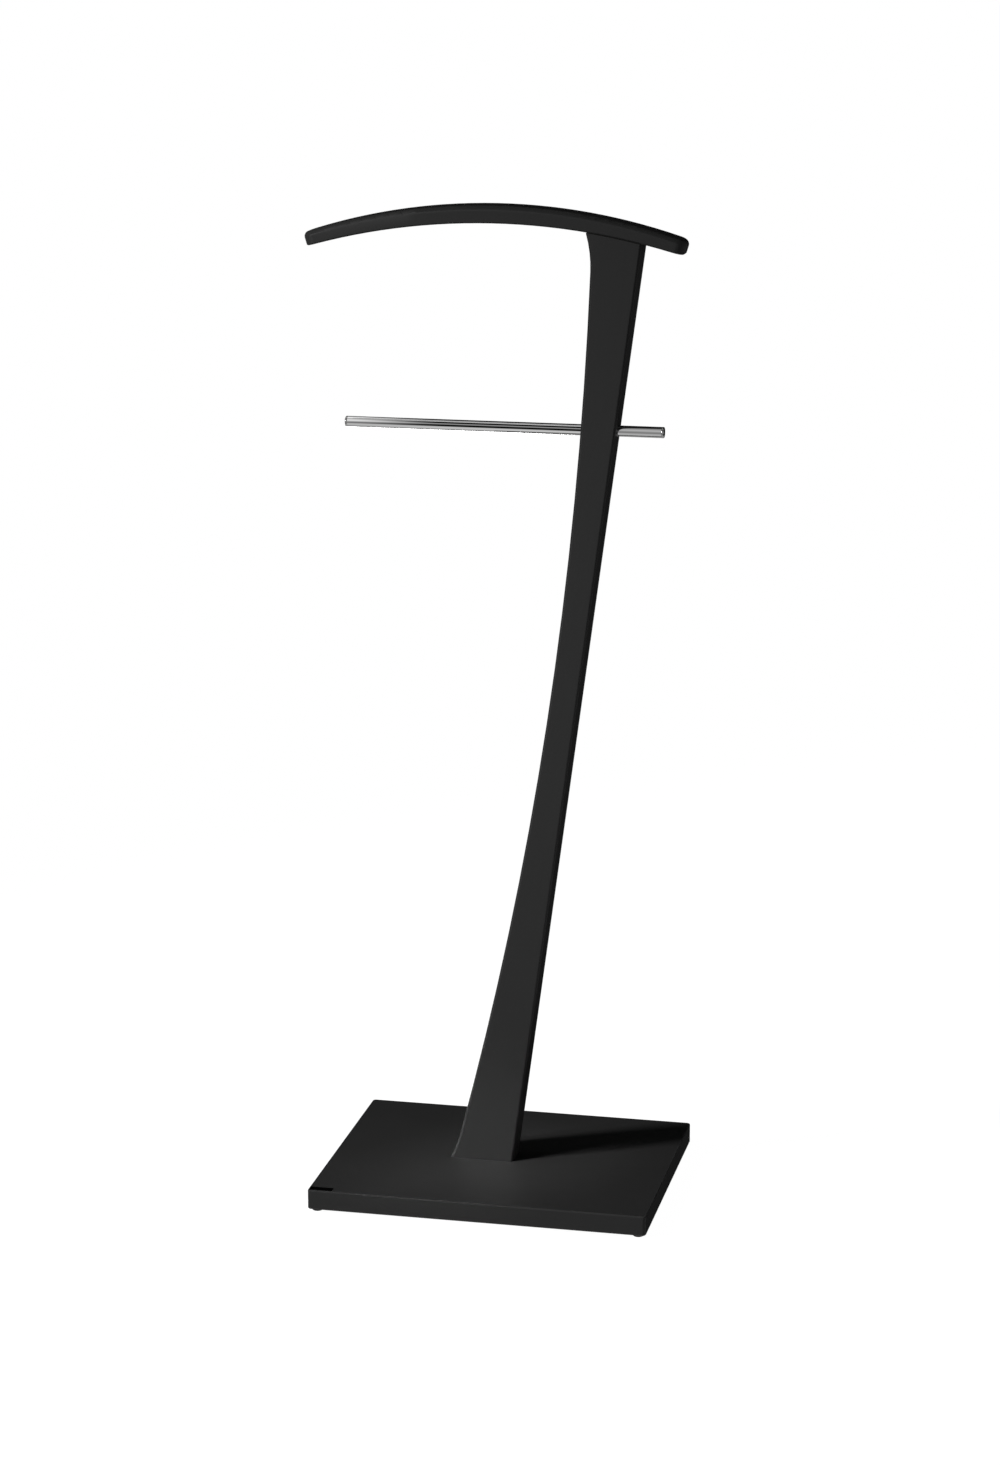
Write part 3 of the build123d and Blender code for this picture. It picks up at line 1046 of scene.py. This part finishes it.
class VALET_OT_trouser_bar(ValetOperator):
    """Turn the chromed tube that the trousers hang over"""

    bl_idname = "valet.trouser_bar"
    bl_label = "Trouser bar"

    def execute(self, context):
        hardware = context.scene.valet_hardware
        radius = extent("trouser_bar").y / 2
        half = extent("trouser_bar").x / 2
        bore = radius - hardware.tube_wall
        profile = [(bore, -half), (radius, -half), (radius, half), (bore, half)]
        bm = turned(profile, hardware.bar_steps)
        for height in (-half, half):
            ease(bm, radius, height, hardware.cap_joint, segments=2)
        along = Matrix.Rotation(pi / 2, 4, "Y")
        bm.transform(Matrix.Translation(middle("trouser_bar")) @ along)
        place_piece(bm, "trouser_bar_chromed", "trouser_bar", polished_chrome("chrome_tube"))
        return {"FINISHED"}


class VALET_OT_bar_caps(ValetOperator):
    """Turn the plugs that close the trouser bar's ends"""

    bl_idname = "valet.bar_caps"
    bl_label = "Bar caps"

    def execute(self, context):
        hardware = context.scene.valet_hardware
        material = polished_chrome("chrome_cap")
        tube_low, tube_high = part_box("trouser_bar")
        for side, tube_end, turn in (("left", tube_low.x, -1), ("right", tube_high.x, 1)):
            node = "bar_cap_" + side
            low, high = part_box(node)
            radius = extent(node).y / 2
            rim = tube_end - low.x if turn < 0 else high.x - tube_end
            spigot = extent(node).x - rim
            fitted = radius - hardware.tube_wall - hardware.running_fit
            profile = [
                (0, rim),
                (radius, rim),
                (radius, 0),
                (fitted, 0),
                (fitted, -spigot),
                (0, -spigot),
            ]
            bm = turned(profile, hardware.bar_steps)
            ease(bm, radius, rim, hardware.cap_easing, segments=6)
            ease(bm, radius, 0, hardware.cap_joint, segments=2)
            ease(bm, fitted, -spigot, hardware.spigot_lead, segments=1)
            place = Matrix.Translation((tube_end, middle(node).y, middle(node).z))
            bm.transform(place @ Matrix.Rotation(turn * pi / 2, 4, "Y"))
            place_piece(bm, node + "_chromed", node, material)
        return {"FINISHED"}


class VALET_OT_glides(ValetOperator):
    """Mould the domed glides under the board"""

    bl_idname = "valet.glides"
    bl_label = "Glides"

    def execute(self, context):
        material = moulded_nylon("nylon_glide")
        hardware = context.scene.valet_hardware
        glides = [n for n in frame["nodes"] if n.startswith("glide_") and "screw" not in n]
        for node in sorted(glides):
            low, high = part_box(node)
            height = high.z - low.z
            outer = (high.x - low.x) / 2
            contact = hardware.glide_contact / 2
            recess = hardware.glide_recess / 2
            bore = hardware.screw_shank / 2 + hardware.running_fit
            seat = height - hardware.glide_seat
            dome = outer - contact
            profile = [
                (bore, height),
                (outer, height),
                (outer, 0),
                (recess, 0),
                (recess, seat),
                (bore, seat),
            ]
            bm = turned(profile, hardware.bar_steps)
            ease(bm, outer, 0, dome, segments=8)
            ease(bm, recess, 0, hardware.recess_easing, segments=2)
            bm.transform(Matrix.Translation((middle(node).x, middle(node).y, low.z)))
            place_piece(bm, node + "_moulded", node, material)
        return {"FINISHED"}


class VALET_OT_glide_screws(ValetOperator):
    """Make the pan-head screws that hold the glides"""

    bl_idname = "valet.glide_screws"
    bl_label = "Glide screws"

    def execute(self, context):
        material = bright_zinc("zinc_glide_screw")
        hardware = context.scene.valet_hardware
        for node in sorted(n for n in frame["nodes"] if n.startswith("glide_screw_")):
            low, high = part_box(node)
            full = high.z - low.z
            head_radius = (high.x - low.x) / 2
            shank = hardware.screw_shank / 2
            core = shank - THREAD_DEPTH * hardware.screw_pitch
            point = full - hardware.screw_point
            profile = [
                (0, 0),
                (head_radius, 0),
                (head_radius, hardware.screw_head),
                (core, hardware.screw_head),
                (core, point),
                (hardware.screw_tip, full),
                (0, full),
            ]
            bm = turned(profile, hardware.screw_steps)
            ease(bm, head_radius, 0, hardware.screw_easing, segments=4)
            planes, inside = cross(hardware.cross_length / 2, hardware.cross_width / 2)
            sink(bm, 0, planes, inside, hardware.cross_depth)
            threaded(bm, shank, hardware.screw_pitch, hardware.screw_head, point)
            bm.transform(Matrix.Translation((middle(node).x, middle(node).y, low.z)))
            place_piece(bm, node + "_threaded", node, material)
        return {"FINISHED"}


class VALET_OT_base_bolts(ValetOperator):
    """Make the socket-head bolts that come up through the board into the stem"""

    bl_idname = "valet.base_bolts"
    bl_label = "Base bolts"

    def execute(self, context):
        material = bright_zinc("zinc_bolt")
        hardware = context.scene.valet_hardware
        for node in ("base_bolt_left", "base_bolt_right"):
            low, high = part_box(node)
            full = high.z - low.z
            head_radius = (high.x - low.x) / 2
            shank = hardware.bolt_shank / 2
            core = shank - THREAD_DEPTH * hardware.bolt_pitch
            profile = [
                (0, 0),
                (head_radius, 0),
                (head_radius, hardware.bolt_head),
                (core, hardware.bolt_head),
                (core, full),
                (0, full),
            ]
            bm = turned(profile, hardware.bolt_steps)
            ease(bm, head_radius, 0, hardware.bolt_easing, segments=3)
            planes, inside = hexagon(hardware.bolt_key)
            sink(bm, 0, planes, inside, hardware.bolt_socket)
            threaded(bm, shank, hardware.bolt_pitch, hardware.bolt_head, full)
            bm.transform(Matrix.Translation((middle(node).x, middle(node).y, low.z)))
            place_piece(bm, node + "_threaded", node, material)
        return {"FINISHED"}


class VALET_OT_set_screw(ValetOperator):
    """Make the grub screw that holds the bar from the stem's back"""

    bl_idname = "valet.set_screw"
    bl_label = "Set screw"

    def execute(self, context):
        node = "bar_set_screw"
        hardware = context.scene.valet_hardware
        low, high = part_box(node)
        full = high.y - low.y
        radius = (high.x - low.x) / 2
        core = radius - THREAD_DEPTH * hardware.set_pitch
        bm = turned([(0, 0), (core, 0), (core, full), (0, full)], hardware.screw_steps)
        planes, inside = hexagon(hardware.set_key)
        sink(bm, 0, planes, inside, hardware.set_socket)
        threaded(bm, radius, hardware.set_pitch, 0, full)
        facing = Matrix.Rotation(pi / 2, 4, "X")
        bm.transform(Matrix.Translation((middle(node).x, high.y, middle(node).z)) @ facing)
        place_piece(bm, node + "_threaded", node, bright_zinc("zinc_set_screw"))
        return {"FINISHED"}


class VALET_OT_plain_hardware(ValetOperator):
    """Give the washers, sleeves, dowels and the corner strip their materials"""

    bl_idname = "valet.plain_hardware"
    bl_label = "Washers, sleeves, dowels and strip"

    def execute(self, context):
        materials = {
            "zinc_steel": bright_zinc("zinc_washer"),
            "sleeve_brass": turned_brass("brass_sleeve"),
            "dowel_beech": bare_beech("beech_dowel"),
            "strip_black": gloss_film("film_strip"),
        }
        for node, piece in frame["nodes"].items():
            if not piece.hide_render:  # a hidden node has a piece that stands for it
                piece.data.materials.clear()
                piece.data.materials.append(materials[slot_of(node)])
        return {"FINISHED"}


class VALET_OT_stage(ValetOperator):
    """Set up the floor, the studio's light and the camera"""

    bl_idname = "valet.stage"
    bl_label = "Stage"

    def execute(self, context):
        stage = context.scene.valet_stage
        context.scene.view_settings.view_transform = "Standard"
        paper_floor(stage)
        studio_room(stage)
        low, high = cad_box
        centre = (Vector(low) + Vector(high)) / 2
        top = middle("base_board")
        top.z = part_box("base_board")[1].z
        softbox(
            "key_light",
            top + Vector(stage.key_aim),
            heading(-stage.key_azimuth, stage.key_elevation),
            stage.key_distance,
            stage.key_size,
            stage.key_power,
            stage.key_spread,
        )
        softbox(
            "pool_light",
            top + Vector(stage.pool_aim),
            heading(-stage.pool_azimuth, stage.pool_elevation),
            stage.pool_distance,
            stage.pool_size,
            stage.pool_power,
            stage.pool_spread,
        )
        softbox(
            "back_fill",
            centre,
            heading(stage.back_azimuth, stage.back_elevation),
            stage.back_distance,
            stage.back_size,
            stage.back_power,
        )
        viewpoint(stage, centre)
        return {"FINISHED"}


# ---------------------------------------------------------------- panel and running

OPERATORS = (
    VALET_OT_woodwork,
    VALET_OT_trouser_bar,
    VALET_OT_bar_caps,
    VALET_OT_glides,
    VALET_OT_glide_screws,
    VALET_OT_base_bolts,
    VALET_OT_set_screw,
    VALET_OT_plain_hardware,
    VALET_OT_stage,
)


class VALET_PT_panel(bpy.types.Panel):
    """Lists what the stand is made of, in order"""

    bl_idname = "VALET_PT_panel"
    bl_label = "Valet stand"
    bl_space_type = "VIEW_3D"
    bl_region_type = "UI"
    bl_category = "Valet stand"

    def draw(self, context):
        for operator in OPERATORS:
            self.layout.operator(operator.bl_idname)
        scene = context.scene
        for group in (scene.valet_finish, scene.valet_hardware, scene.valet_stage):
            box = self.layout.box()
            for name in group.__annotations__:
                box.prop(group, name)


CLASSES = (ValetFinish, ValetHardware, ValetStage, *OPERATORS, VALET_PT_panel)


def register():
    """Register the classes and give the scene their settings."""
    for cls in CLASSES:
        bpy.utils.register_class(cls)
    bpy.types.Scene.valet_finish = PointerProperty(type=ValetFinish)
    bpy.types.Scene.valet_hardware = PointerProperty(type=ValetHardware)
    bpy.types.Scene.valet_stage = PointerProperty(type=ValetStage)


def unregister():
    """Take the settings and the classes away again."""
    del bpy.types.Scene.valet_stage
    del bpy.types.Scene.valet_hardware
    del bpy.types.Scene.valet_finish
    for cls in reversed(CLASSES):
        bpy.utils.unregister_class(cls)


def main():
    """Run the operators in order."""
    register()
    for operator in OPERATORS:
        group, name = operator.bl_idname.split(".")
        getattr(getattr(bpy.ops, group), name)()


if __name__ == "__main__":
    main()
